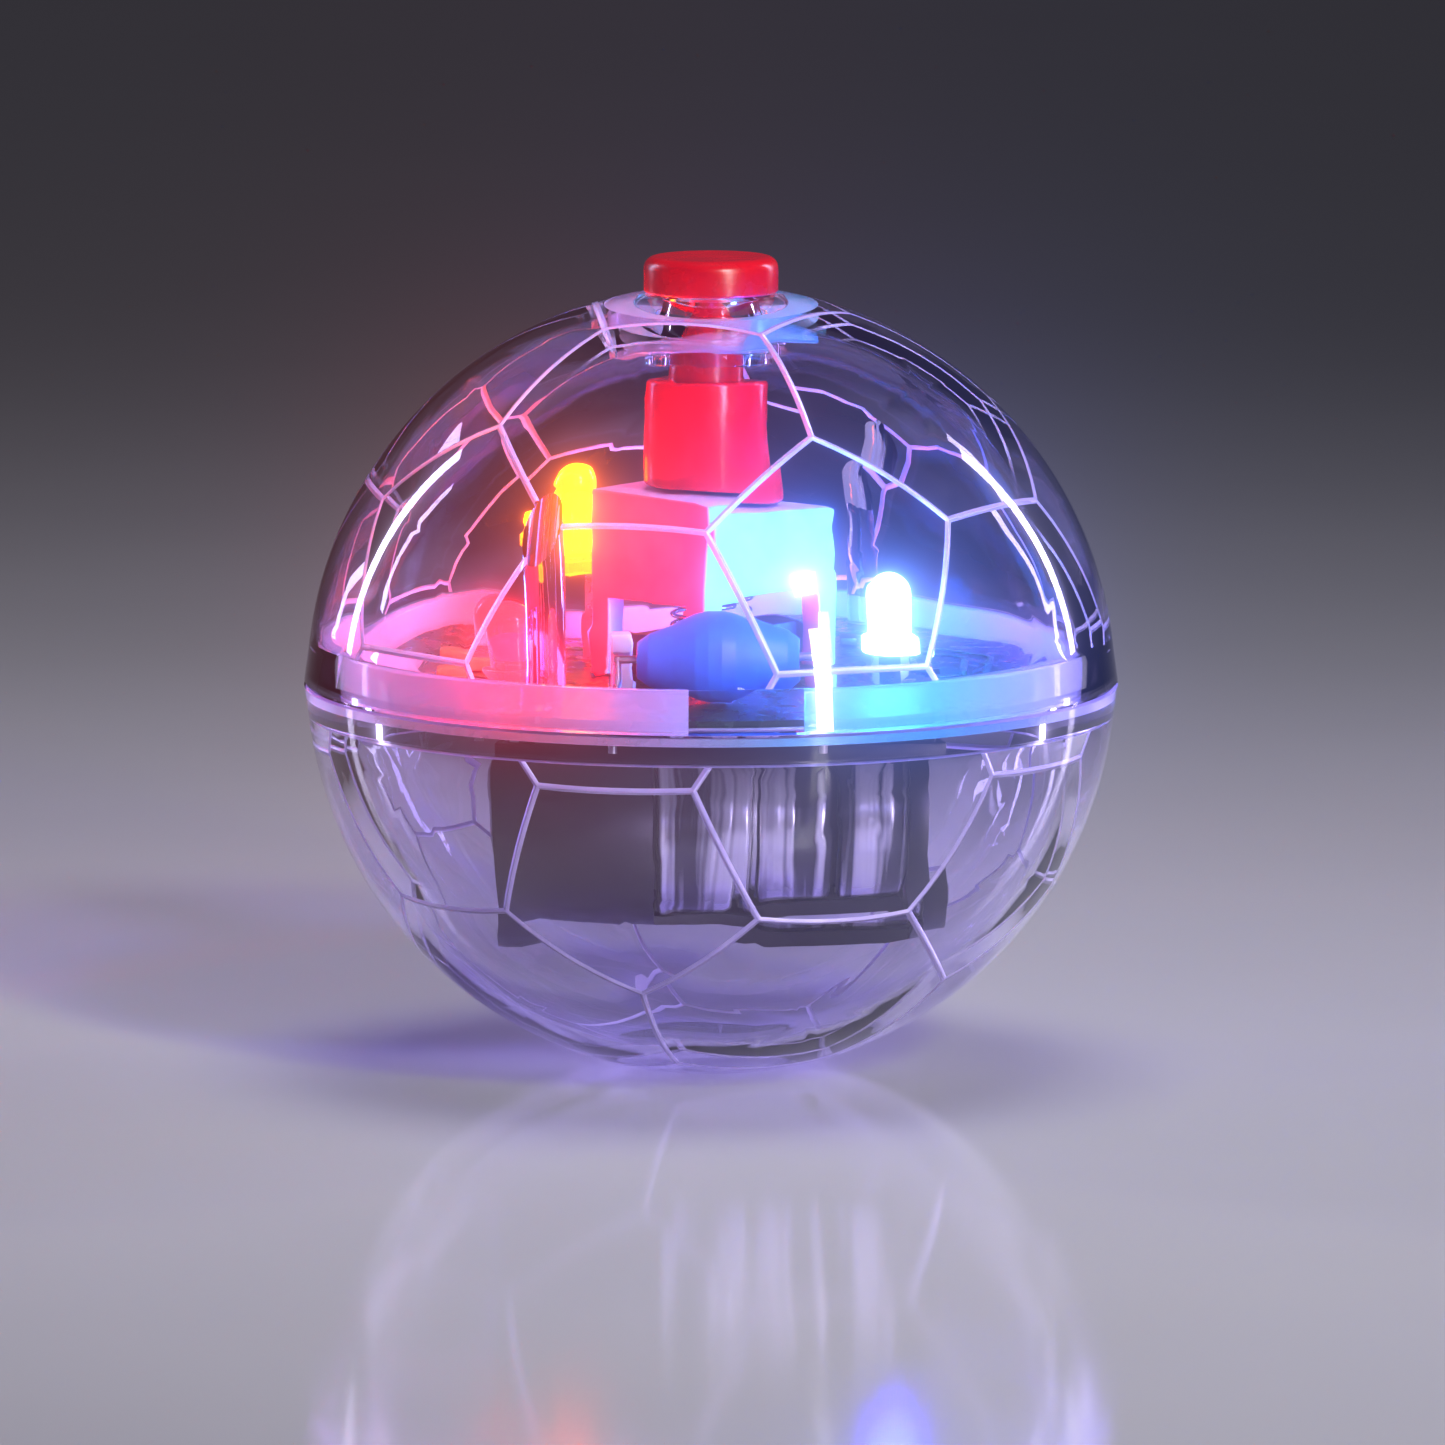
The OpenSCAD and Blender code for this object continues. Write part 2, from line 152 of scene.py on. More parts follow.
def grain(tree, size_mm, height_mm):
    """A bump of about size_mm across and height_mm high."""
    place = put(tree, "ShaderNodeTexCoord").outputs["Object"]
    noise = put(tree, "ShaderNodeTexNoise", {"Vector": place, "Scale": 1000 / size_mm, "Detail": 3.0})
    bump = put(
        tree,
        "ShaderNodeBump",
        {"Height": noise.outputs["Fac"], "Strength": 1.0, "Distance": height_mm * MM},
    )
    return bump.outputs["Normal"]


def rough_patches(tree, low, high, size_mm):
    """Roughness that drifts between two values, as handling leaves it."""
    place = put(tree, "ShaderNodeTexCoord").outputs["Object"]
    noise = put(tree, "ShaderNodeTexNoise", {"Vector": place, "Scale": 1000 / size_mm, "Detail": 4.0})
    span = put(
        tree,
        "ShaderNodeMapRange",
        {"Value": noise.outputs["Fac"], "From Min": 0.3, "From Max": 0.7, "To Min": low, "To Max": high},
    )
    return span.outputs["Result"]


def plastic(name, low, high, rough, bump_mm=0.004, grain_mm=0.6, ior=1.53, see=0.0):
    """A moulded plastic: close shades, a little uneven gloss and a fine skin."""
    material, tree = new_material(name)
    skin = put(
        tree,
        "ShaderNodeBsdfPrincipled",
        {
            "Base Color": mottled(tree, low, high, 3.0),
            "Roughness": rough_patches(tree, rough[0], rough[1], 2.0),
            "Normal": grain(tree, grain_mm, bump_mm),
            "IOR": ior,
            "Subsurface Weight": see,
            "Subsurface Radius": (1.0, 0.4, 0.3),
            "Subsurface Scale": 0.001,
        },
    )
    put(tree, "ShaderNodeOutputMaterial", {"Surface": skin.outputs["BSDF"]})
    return material


def nylon_with_painted_lamp_light(name, plain, left, right):
    """White nylon with the red lamp's light painted on its left-facing faces and the blue lamp's light
    painted on its right-facing faces.
    """
    material, tree = new_material(name)
    # Painted lamp light: faces turned left are painted red, faces turned right are painted blue
    facing = put(tree, "ShaderNodeTexCoord").outputs["Normal"]
    across = put(tree, "ShaderNodeSeparateXYZ", {"Vector": facing}).outputs["X"]
    share = put(tree, "ShaderNodeMapRange", {"Value": across, "From Min": -0.8, "From Max": 0.8})
    ramp = put(tree, "ShaderNodeValToRGB", {"Fac": share.outputs["Result"]})
    ramp.color_ramp.elements[0].color = paint(left)
    ramp.color_ramp.elements[0].position = 0.2
    ramp.color_ramp.elements[1].color = paint(right)
    ramp.color_ramp.elements[1].position = 0.8
    ramp.color_ramp.elements.new(0.5).color = paint(plain)
    mottle = put(tree, "ShaderNodeMix", {"Factor": 0.12}, data_type="RGBA")
    tree.links.new(ramp.outputs["Color"], mottle.inputs["A"])
    tree.links.new(mottled(tree, plain, "#FFFFFF", 2.5), mottle.inputs["B"])
    skin = put(
        tree,
        "ShaderNodeBsdfPrincipled",
        {
            "Base Color": mottle.outputs["Result"],
            "Roughness": rough_patches(tree, 0.38, 0.50, 2.0),
            "Normal": grain(tree, 0.35, 0.006),
            "IOR": 1.53,
        },
    )
    put(tree, "ShaderNodeOutputMaterial", {"Surface": skin.outputs["BSDF"]})
    return material


def metal(name, low, high, rough, brush_mm=0.12, along="X", painted_streak_mm=0.0):
    """A drawn or rolled metal, with fine lines along the way it was worked and, if asked, wide painted light
    and dark streaks that stand for reflections.
    """
    material, tree = new_material(name)
    place = put(tree, "ShaderNodeTexCoord").outputs["Object"]
    stretch = {"X": (0.05, 1, 1), "Z": (1, 1, 0.05), "round X": (1, 0.03, 0.03)}[along]
    lines = put(tree, "ShaderNodeMapping", {"Vector": place, "Scale": stretch})
    noise = put(
        tree,
        "ShaderNodeTexNoise",
        {"Vector": lines.outputs["Vector"], "Scale": 1000 / brush_mm, "Detail": 2.0},
    )
    fine = {"Height": noise.outputs["Fac"], "Strength": 0.5, "Distance": 0.002 * MM}
    bump = put(tree, "ShaderNodeBump", fine)
    colour = mottled(tree, low, high, 1.5)
    if painted_streak_mm:
        wide = put(
            tree,
            "ShaderNodeTexNoise",
            {"Vector": lines.outputs["Vector"], "Scale": 1000 / painted_streak_mm, "Detail": 2.0},
        )
        # Painted reflection: light and dark streaks put into the colour
        bands = put(tree, "ShaderNodeValToRGB", {"Fac": wide.outputs["Fac"]})
        bands.color_ramp.elements[0].color = paint(low)
        bands.color_ramp.elements[0].position = 0.42
        bands.color_ramp.elements[1].color = paint(high)
        bands.color_ramp.elements[1].position = 0.52
        colour = bands.outputs["Color"]
        waves = {"Height": wide.outputs["Fac"], "Strength": 1.0, "Distance": 0.30 * MM}
        bump = put(tree, "ShaderNodeBump", {**waves, "Normal": bump.outputs["Normal"]})
    skin = put(
        tree,
        "ShaderNodeBsdfPrincipled",
        {
            "Base Color": colour,
            "Metallic": 0.72 if painted_streak_mm else 1.0,
            "Roughness": rough_patches(tree, rough[0], rough[1], 1.0),
            "Normal": bump.outputs["Normal"],
        },
    )
    put(tree, "ShaderNodeOutputMaterial", {"Surface": skin.outputs["BSDF"]})
    return material


def painted_lamp_light_by_side(tree, left, plain, right):
    """Painted lamp light: red painted on the left, blue painted on the right, fading into the plain tint
    between.
    """
    place = put(tree, "ShaderNodeTexCoord").outputs["Object"]
    across = put(tree, "ShaderNodeSeparateXYZ", {"Vector": place}).outputs["X"]
    share = put(tree, "ShaderNodeMapRange", {"Value": across, "From Min": -22 * MM, "From Max": 22 * MM})
    ramp = put(tree, "ShaderNodeValToRGB", {"Fac": share.outputs["Result"]})
    ramp.color_ramp.elements[0].color = paint(plain)
    ramp.color_ramp.elements[0].position = 0.0
    ramp.color_ramp.elements[1].color = paint(plain)
    ramp.color_ramp.elements[1].position = 1.0
    for at, tint in ((0.24, left), (0.46, plain), (0.62, right), (0.80, right)):
        ramp.color_ramp.elements.new(at).color = paint(tint)
    return ramp.outputs["Color"]


def clear(name, tint, rough, ior=1.50, through=1.0, shine=0.0, sides=None):
    """A clear moulding. Lamps shine straight through it, as they do through the real thin wall."""
    material, tree = new_material(name)
    # With sides given, red and blue lamp light is painted into the colour. Shine makes the moulding glow,
    # which is a painted glow everywhere but in the lamp bodies
    tone = painted_lamp_light_by_side(tree, sides[0], tint, sides[1]) if sides else paint(tint)
    skin = put(
        tree,
        "ShaderNodeBsdfPrincipled",
        {
            "Base Color": tone,
            "Roughness": rough,
            "IOR": ior,
            "Transmission Weight": through,
            "Emission Color": tone,
            "Emission Strength": shine,
        },
    )
    passed = put(tree, "ShaderNodeBsdfTransparent", {"Color": paint(tint)})
    shadow = put(tree, "ShaderNodeLightPath").outputs["Is Shadow Ray"]
    mix = put(tree, "ShaderNodeMixShader", {"Fac": shadow})
    tree.links.new(skin.outputs["BSDF"], mix.inputs[1])
    tree.links.new(passed.outputs["BSDF"], mix.inputs[2])
    put(tree, "ShaderNodeOutputMaterial", {"Surface": mix.outputs["Shader"]})
    return material


def glowing(name, colour, strength):
    """The lit heart of a lamp."""
    material, tree = new_material(name)
    skin = put(
        tree,
        "ShaderNodeBsdfPrincipled",
        {
            "Base Color": paint(colour),
            "Roughness": 0.4,
            "Emission Color": paint(colour),
            "Emission Strength": strength,
        },
    )
    put(tree, "ShaderNodeOutputMaterial", {"Surface": skin.outputs["BSDF"]})
    return material


# ---- materials ----

# Crystal polystyrene, injection moulded: bright, hard and almost colourless
clear_shell = clear("crystal polystyrene moulded clear", "#E6E1FB", 0.012)
# The panel lines keep the tool's finer, slightly matt cut, so they read as pale lines
panel_line = clear("crystal polystyrene matt panel line", "#D8CDF6", 0.28, through=0.55)
# The lip and collar are a little hazy. Red lamp light is painted on their left, blue lamp light on their
# right, and a faint painted glow lights the whole band
lip_face = clear(
    "crystal polystyrene hazy lip with painted lamp light", "#D2C8F6", 0.20, through=0.72, shine=0.16, sides=("#FF98AE", "#6CD4FF")
)
# ABS from a polished tool: a deep even red with one soft, clean highlight
red_cap_abs = plastic("red abs moulded button", "#C90410", "#D20713", (0.20, 0.30), 0.003, 0.5)
# The plunger's ABS lets a little light in, so its red glows between the lamps
red_plunger_abs = plastic(
    "red translucent abs plunger", "#E00412", "#E80718", (0.14, 0.22), 0.002, 0.5, see=0.2
)
# Moulded nylon: milky, with a broad dull sheen
white_nylon = plastic(
    "white nylon satin housing", "#E9E7E0", "#F1EFE9", (0.38, 0.50), 0.006, 0.35, see=0.1
)
# The same nylon close to the lamps, with their red and blue light painted into its colour on the faces
# turned to each lamp
housing_nylon_painted_lamp_light = nylon_with_painted_lamp_light("white nylon with painted red and blue lamp light", "#D2C0D8", "#EC1C34", "#66CCF4")
# Black ABS from an etched tool: near black with a wide grey sheen
black_abs = plastic("black abs satin holder", "#0B0B0D", "#111113", (0.32, 0.46), 0.006, 0.3)
# Phenolic resin with wood flour: a warm, dry near-black
base_bakelite = plastic("dark phenolic switch base", "#1B1512", "#241C18", (0.42, 0.55), 0.008, 0.25)
# Polyolefin shrunk over the sensor: a soft waxy blue, a little uneven
blue_sleeve = plastic(
    "blue polyolefin heat-shrunk sleeve", "#0668C4", "#0A73D0", (0.42, 0.56), 0.02, 0.9
)
# Epoxy poured as a drop: black and wet-looking, with slow waves
blob_epoxy = plastic("black potting epoxy", "#08080A", "#101012", (0.18, 0.30), 0.02, 1.6, 1.55)
# Hot-tinned copper: warm grey white, with draw lines down the wire
tinned = metal("tinned copper lead", "#C9C6BE", "#D6D4CC", (0.24, 0.36), 0.2, "Z")
# Drawn music wire: cool bright grey
spring_wire = metal("bright drawn spring wire", "#B4B7BC", "#C6C9CE", (0.16, 0.26), 0.1)
# Gilt brass wire: a clear warm yellow metal
gold_wire = metal("gilt spring wire", "#D8B25A", "#E3BF68", (0.18, 0.28), 0.1)
# Nickel over drawn steel: bright. Its dark and light stripes, about 1 mm wide, are not the can's own: they
# are painted reflection streaks, standing for the streaks that the faceted wall lays over the cells
nickel_can = metal("nickel plated cell can with painted reflection streaks", "#58585C", "#FFFFFC", (0.14, 0.26), 0.2, "round X", 1.1)
# Tin solder: grey white, dull where it froze last
solder = metal("tin solder", "#B9BCBF", "#CBCDD0", (0.22, 0.40), 0.6, "Z")
# Copper under solder mask: a lighter, glossier green than the bare board
track_mask = plastic("green masked copper track", "#14502E", "#185A35", (0.2, 0.32), 0.003, 0.4)
# Dipped, fired ceramic: matt tan
chip_ceramic = plastic("sintered tan ceramic", "#9C7B52", "#AD8A5E", (0.45, 0.6), 0.01, 0.2)
# Moulded rubbery nylon gasket: a thin dull black ring
gasket_black = plastic("black cell gasket", "#0D0D0E", "#151516", (0.4, 0.5))
# Dyed epoxy lamp bodies: clear colour that is brightest round the lit heart
red_lens = clear("red tinted lamp epoxy", "#FF4450", 0.10, 1.54, 0.9, 1.2)
blue_lens = clear("blue tinted lamp epoxy", "#94C8FF", 0.10, 1.54, 0.9, 6.0)
yellow_lens = clear("yellow tinted lamp epoxy", "#FFA01E", 0.10, 1.54, 0.9, 1.3)
# The lit hearts are far brighter than anything round them
red_glow = glowing("red lamp heart", "#FF061C", 400.0)
blue_glow = glowing("blue lamp heart", "#2E88FF", 2200.0)
yellow_glow = glowing("yellow lamp heart", "#FF9208", 1000.0)


def board_finish():
    """Fibreglass board under green solder mask: dark, glossy, with a faint woven ripple."""
    material, tree = new_material("green masked fibreglass board")
    place = put(tree, "ShaderNodeTexCoord").outputs["Object"]
    # Glass cloth has about 0.5 mm between its threads
    thread = {"Vector": place, "Scale": 320.0, "Distortion": 0.4}
    weave = [put(tree, "ShaderNodeTexWave", thread, bands_direction=way) for way in ("X", "Y")]
    threads = {0: weave[0].outputs["Fac"], 1: weave[1].outputs["Fac"]}
    cloth = put(tree, "ShaderNodeMath", threads, operation="MAXIMUM")
    ripple = {"Height": cloth.outputs["Value"], "Strength": 0.3, "Distance": 0.01 * MM}
    bump = put(tree, "ShaderNodeBump", ripple)
    skin = put(
        tree,
        "ShaderNodeBsdfPrincipled",
        {
            "Base Color": mottled(tree, "#0A2B19", "#0E3821", 2.0),
            "Roughness": rough_patches(tree, 0.22, 0.36, 1.5),
            "Normal": bump.outputs["Normal"],
            "IOR": 1.52,
        },
    )
    put(tree, "ShaderNodeOutputMaterial", {"Surface": skin.outputs["BSDF"]})
    return material


board_green = board_finish()

# ---- mesh helpers ----


def make_object(name, bm, *materials):
    """A mesh object from bm, in metres, faces outwards, smooth but for its true edges."""
    bmesh.ops.remove_doubles(bm, verts=bm.verts, dist=1e-8)
    bmesh.ops.recalc_face_normals(bm, faces=bm.faces)
    mesh = bpy.data.meshes.new(name)
    bm.to_mesh(mesh)
    bm.free()
    for material in materials:
        mesh.materials.append(material)
    mesh.shade_smooth()
    mesh.set_sharp_from_angle(angle=math.radians(32))
    made = bpy.data.objects.new(name, mesh)
    bpy.context.scene.collection.objects.link(made)
    return made


def corner(points, steps=5):
    """An outline with its corners rounded. Each point is radius, height and how round it is."""
    out = []
    for i, (x, z, r) in enumerate(points):
        here = Vector((x, z))
        if r <= 0 or i in (0, len(points) - 1):
            out.append((x, z))
            continue
        back = (Vector(points[i - 1][:2]) - here).normalized()
        on = (Vector(points[i + 1][:2]) - here).normalized()
        half = back.angle(on) / 2
        reach = r / math.tan(half)
        start, end = here + back * reach, here + on * reach
        middle = here + (back + on).normalized() * (r / math.sin(half))
        a, b = start - middle, end - middle
        turn = a.angle_signed(b)
        for k in range(steps + 1):
            t = -turn * k / steps
            p = middle + Matrix.Rotation(t, 2) @ a
            out.append((p.x, p.y))
    return out


def turned(outline, steps=96, closed=False):
    """Spins an outline of (radius, height) about Z. Points on the axis close it off."""
    bm = bmesh.new()
    rings = []
    for r, z in outline:
        if r < 1e-6:
            rings.append([bm.verts.new((0, 0, z * MM))])
        else:
            rings.append(
                [
                    bm.verts.new((r * MM * math.cos(a), r * MM * math.sin(a), z * MM))
                    for a in (2 * math.pi * k / steps for k in range(steps))
                ]
            )
    pairs = list(zip(rings, rings[1:]))
    if closed:
        pairs.append((rings[-1], rings[0]))
    for low, high in pairs:
        for k in range(steps):
            n = (k + 1) % steps
            if len(low) == 1 and len(high) == 1:
                continue
            if len(low) == 1:
                bm.faces.new((low[0], high[n], high[k]))
            elif len(high) == 1:
                bm.faces.new((low[k], low[n], high[0]))
            else:
                bm.faces.new((low[k], low[n], high[n], high[k]))
    return bm


def shifted(bm, x, y, z):
    """Moves bm by lengths in metres."""
    bmesh.ops.translate(bm, verts=bm.verts, vec=(x, y, z))
    return bm


def laid_over(bm, start):
    """Turns bm from up Z to along X, and starts it at a place in metres."""
    way = Matrix.Translation(start) @ Matrix.Rotation(math.radians(90), 4, "Y")
    bmesh.ops.transform(bm, matrix=way, verts=bm.verts)
    return bm


def block(x, y, z):
    """A block of the given sizes in metres, about the origin."""
    bm = bmesh.new()
    bmesh.ops.create_cube(bm, size=1.0)
    bmesh.ops.scale(bm, verts=bm.verts, vec=(x, y, z))
    return bm


def arc(centre_z, radius, start, end, steps):
    """Points of a circle about (0, centre_z), by angle in degrees from straight up."""
    angles = [math.radians(start + (end - start) * k / steps) for k in range(steps + 1)]
    return [(radius * math.sin(a), centre_z + radius * math.cos(a)) for a in angles]


def carve(body, tool, how="DIFFERENCE"):
    """Joins or cuts with a tool, which is then thrown away."""
    change = body.modifiers.new("carve", "BOOLEAN")
    change.operation = how
    change.object = tool
    change.solver = "EXACT"
    graph = bpy.context.evaluated_depsgraph_get()
    made = bpy.data.meshes.new_from_object(body.evaluated_get(graph))
    body.modifiers.clear()
    body.data = made
    bpy.data.objects.remove(tool)
    return body


def finish_piece(piece, body, slot, *nodes):
    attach(piece, body)
    if nodes:
        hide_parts(*nodes)
    return piece


# ---- the football pattern inside the walls ----


def toward(polar, azimuth):
    p, a = math.radians(polar), math.radians(azimuth)
    return Vector((math.sin(p) * math.cos(a), math.sin(p) * math.sin(a), math.cos(p)))


def panel_core(centre_z, line_w=0.22, line_depth=0.22):
    """The hollow inside the wall: slightly domed panels with a narrow channel along every panel line."""
    tips = [toward(0, 0), toward(180, 0)]
    tips += [toward(63.435, PANEL_TURN + 72 * k) for k in range(5)]
    tips += [toward(116.565, PANEL_TURN + 36 + 72 * k) for k in range(5)]
    near = {(a, b) for a in range(12) for b in range(12) if a != b and tips[a].dot(tips[b]) > 0.4}
    corners = {(a, b): ((tips[a] * 2 + tips[b]) / 3).normalized() for a, b in near}
    panels = [[(a, b) for b in range(12) if (a, b) in near] for a in range(12)]
    for a in range(12):
        for b in range(a + 1, 12):
            for c in range(b + 1, 12):
                if (a, b) in near and (b, c) in near and (a, c) in near:
                    panels.append([(a, b), (b, a), (b, c), (c, b), (c, a), (a, c)])
    bm = bmesh.new()
    lift = Vector((0, 0, centre_z))
    ridge = {}

    def domed(point, extra=0.0):
        radius = point.length + (DOME_R - point.length) * DOMED + extra
        return (point.normalized() * radius + lift) * MM

    for keys in panels:
        flat = [corners[k] * CORNER_R for k in keys]
        middle = sum(flat, Vector()) / len(flat)
        side = middle.normalized().orthogonal().normalized()
        up = middle.normalized().cross(side)
        order = sorted(
            range(len(keys)),
            key=lambda i: math.atan2((flat[i] - middle).dot(up), (flat[i] - middle).dot(side)),
        )
        keys = [keys[i] for i in order]
        flat = [flat[i] for i in order]
        reach = (middle - (flat[0] + flat[1]) / 2).length
        edge, rims = [], []
        for i, key in enumerate(keys):
            after = keys[(i + 1) % len(keys)]
            for k in range(EDGE_STEPS):
                at = flat[i].lerp(flat[(i + 1) % len(keys)], k / EDGE_STEPS)
                name = tuple(round(c, 4) for c in at)
                if name not in ridge:
                    ridge[name] = bm.verts.new(domed(at, line_depth))
                edge.append(ridge[name])
                rims.append(at)
        inset = 1 - line_w / reach
        rings = [edge]
        for t in (1.0, 0.8, 0.55, 0.3):
            rings.append([bm.verts.new(domed(middle + (p - middle) * inset * t)) for p in rims])
        for ring, (outer, inner) in enumerate(zip(rings, rings[1:])):
            for k in range(len(outer)):
                n = (k + 1) % len(outer)
                bm.faces.new((outer[k], outer[n], inner[n], inner[k])).material_index = int(ring == 0)
        tip = bm.verts.new(domed(middle))
        for k in range(len(rims)):
            bm.faces.new((rings[-1][k], rings[-1][(k + 1) % len(rims)], tip))
    bmesh.ops.recalc_face_normals(bm, faces=bm.faces)
    line = set(ridge.values())
    ridges = [e for e in bm.edges if e.verts[0] in line and e.verts[1] in line]
    bmesh.ops.bevel(
        bm, geom=ridges, offset=0.10 * MM, segments=2, profile=0.5, affect="EDGES", material=1
    )
    return bm


def cut_flat(bm, z, keep_above):
    """Cuts a closed mesh at a level and caps it."""
    got = bmesh.ops.bisect_plane(
        bm,
        geom=bm.verts[:] + bm.edges[:] + bm.faces[:],
        plane_co=(0, 0, z * MM),
        plane_no=(0, 0, 1),
        clear_inner=keep_above,
        clear_outer=not keep_above,
    )
    edges = [e for e in got["geom_cut"] if isinstance(e, bmesh.types.BMEdge)]
    bmesh.ops.contextual_create(bm, geom=edges)
    return bm


def angle_at(radius_from_axis, radius):
    return math.degrees(math.asin(radius_from_axis / radius))


def rim_angle():
    """Where the ball's wall meets the rim, in degrees from straight up."""
    level = HALF_SHIFT + RIM_H
    return math.degrees(math.atan2(math.sqrt(BALL_R**2 - level**2), level))


def give_hazy_painted_lamp_light(bm, beyond, lowest, highest):
    """Gives the hazy finish, with its painted lamp light and painted glow, to faces farther out than beyond
    and between two heights.
    """
    for face in bm.faces:
        middle = face.calc_center_median()
        out = math.hypot(middle.x, middle.y) > beyond * MM
        face.material_index = 2 if out and lowest * MM < middle.z < highest * MM else 0
    return bm


def upper_half():
    gap = 0.03
    inside_z = SEAM_Z + LIP_H
    outline = [(0, SEAT_Z), (CAP_R + 0.22, SEAT_Z)]
    outline += arc(UPPER_C, BALL_R, angle_at(CAP_R + 0.3, BALL_R), rim_angle(), 72)
    outline += [
        (BALL_R + RIM_OUT, SEAM_Z + BEVEL + gap),
        (BALL_R + RIM_OUT - BEVEL, SEAM_Z + gap),
        (LIP_OUT + FIT, SEAM_Z + gap),
        (LIP_OUT + FIT, inside_z + 0.1),
        (18.0, inside_z + 0.1),
        (18.0, inside_z + 1.0),
        (0, inside_z + 1.0),
    ]
    dome = make_object("upper_shell_clear", turned(outline, SHELL_STEPS), clear_shell, panel_line, lip_face)
    hollow = cut_flat(panel_core(UPPER_C), inside_z + 0.06, True)
    carve(dome, make_object("core", hollow, clear_shell, panel_line))
    collar = corner(
        [
            (0, COLLAR_TOP, 0),
            (COLLAR_R, COLLAR_TOP, 0),
            (COLLAR_R, COLLAR_END, 0.25),
            (TUBE_R, COLLAR_END, 0.1),
            (TUBE_R, TUBE_END, 0.2),
            (0, TUBE_END, 0),
        ]
    )
    ring = give_hazy_painted_lamp_light(turned(collar), TUBE_R + 0.2, 0, COLLAR_TOP - 0.1)
    carve(dome, make_object("collar", ring, clear_shell, panel_line, lip_face), "UNION")
    foot = BOARD_TOP + 0.03
    rib = corner([(0, foot, 0), (PILLAR_R, foot, 0.15), (PILLAR_R, SEAM_Z + 20, 0), (0, SEAM_Z + 20, 0)])
    for azimuth in PILLAR_TURNS:
        place = toward(90, azimuth) * PILLAR_AT * MM
        pillar = make_object("pillar", shifted(turned(rib, 32), *place), clear_shell, panel_line)
        inside = turned(arc(UPPER_C, BALL_R - 0.5, 180, 0, 48))
        carve(pillar, make_object("inside", inside, clear_shell, panel_line), "INTERSECT")
        carve(dome, pillar, "UNION")
    bore = turned([(0, TUBE_END - 1), (BORE_R, TUBE_END - 1), (BORE_R, TOP_Z + 1), (0, TOP_Z + 1)])
    carve(dome, make_object("bore", bore, clear_shell, panel_line))
    dome.data.set_sharp_from_angle(angle=math.radians(28))
    return finish_piece(dome, "ball", "clear_plastic", "upper_shell")


def lower_half():
    outline = [(0, 0), (FOOT_R - 0.15, 0)]
    outline += arc(LOWER_C, BALL_R, 180 - angle_at(FOOT_R, BALL_R), 180 - rim_angle(), 72)
    outline += [
        (BALL_R + RIM_OUT, SEAM_Z - BEVEL),
        (BALL_R + RIM_OUT - BEVEL, SEAM_Z),
        (LIP_OUT, SEAM_Z),
    ]
    outline += corner(
        [
            (LIP_OUT, SEAM_Z, 0),
            (LIP_OUT, SEAM_Z + LIP_H, 0.25),
            (LIP_IN, SEAM_Z + LIP_H, 0.25),
            (LIP_IN, BOARD_Z, 0),
        ]
    )[1:]
    outline += [(LEDGE_R, BOARD_Z), (LEDGE_R, LEDGE_Z - 0.4), (0, LEDGE_Z - 0.4)]
    bowl = give_hazy_painted_lamp_light(turned(outline, SHELL_STEPS), LIP_IN - 0.1, SEAM_Z + 0.1, TOP_Z)
    bowl = make_object("lower_shell_clear", bowl, clear_shell, panel_line, lip_face)
    hollow = cut_flat(panel_core(LOWER_C), LEDGE_Z, False)
    carve(bowl, make_object("core", hollow, clear_shell, panel_line))
    notch = shifted(
        block(NOTCH_W * MM, 8 * MM, 4 * MM), NOTCH_X * MM, -22.6 * MM, (SEAM_Z + 2.02) * MM
    )
    carve(bowl, make_object("notch", notch, clear_shell, panel_line))
    bowl.data.set_sharp_from_angle(angle=math.radians(28))
    return finish_piece(bowl, "ball", "clear_plastic", "lower_shell")


upper_half()
lower_half()

# ---- button ----


def button():
    neck_low = PLUNGER_TOP - 3.0
    top = CAP_Z + CAP_H
    dish = [(0, top - 0.07), (1.6, top - 0.05), (2.6, top - 0.01)]
    side = corner([(3.0, top, 0), (CAP_R, top, 0.72), (CAP_R, CAP_Z, 0.18), (NECK_R, CAP_Z, 0)], 8)
    neck = [(NECK_R, neck_low + 0.3), (NECK_R - 0.3, neck_low), (0, neck_low)]
    cap = make_object("button_cap_red", turned(dish + side + neck, 128), red_cap_abs)
    finish_piece(cap, "button", "red_plastic", "button_cap")
    bore, stem_top = NECK_R + 0.02, PLUNGER_Z + 2.2
    socket = [(0, neck_low - 0.1), (bore, neck_low - 0.1)]
    body = corner(
        [
            (bore, PLUNGER_TOP, 0),
            (PLUNGER_R, PLUNGER_TOP, 0.3),
            (PLUNGER_R, PLUNGER_Z, 0.3),
            (2.6, PLUNGER_Z, 0.1),
            (2.6, stem_top, 0),
            (0, stem_top, 0),
        ]
    )
    plunger = make_object("plunger_red", turned(socket + body, 128), red_plunger_abs)
    finish_piece(plunger, "button", "red_plastic", "plunger")


button()

# ---- CAD pieces given worked edges ----


def dress(node, body, slot, material, edge_mm, steps=2):
    """A copy of a CAD node with small rounded edges, which stands for the node."""
    bm = bmesh.new()
    bm.from_mesh(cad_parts[node].data)
    bmesh.ops.remove_doubles(bm, verts=bm.verts, dist=1e-7)
    bmesh.ops.dissolve_limit(bm, angle_limit=math.radians(0.8), verts=bm.verts, edges=bm.edges)
    sharp = [e for e in bm.edges if len(e.link_faces) == 2 and e.calc_face_angle() > math.radians(35)]
    bmesh.ops.bevel(
        bm, geom=sharp, offset=edge_mm * MM, segments=steps, profile=0.5, affect="EDGES", clamp_overlap=True
    )
    piece = make_object(node + "_worked", bm, material)
    return finish_piece(piece, body, slot, node)


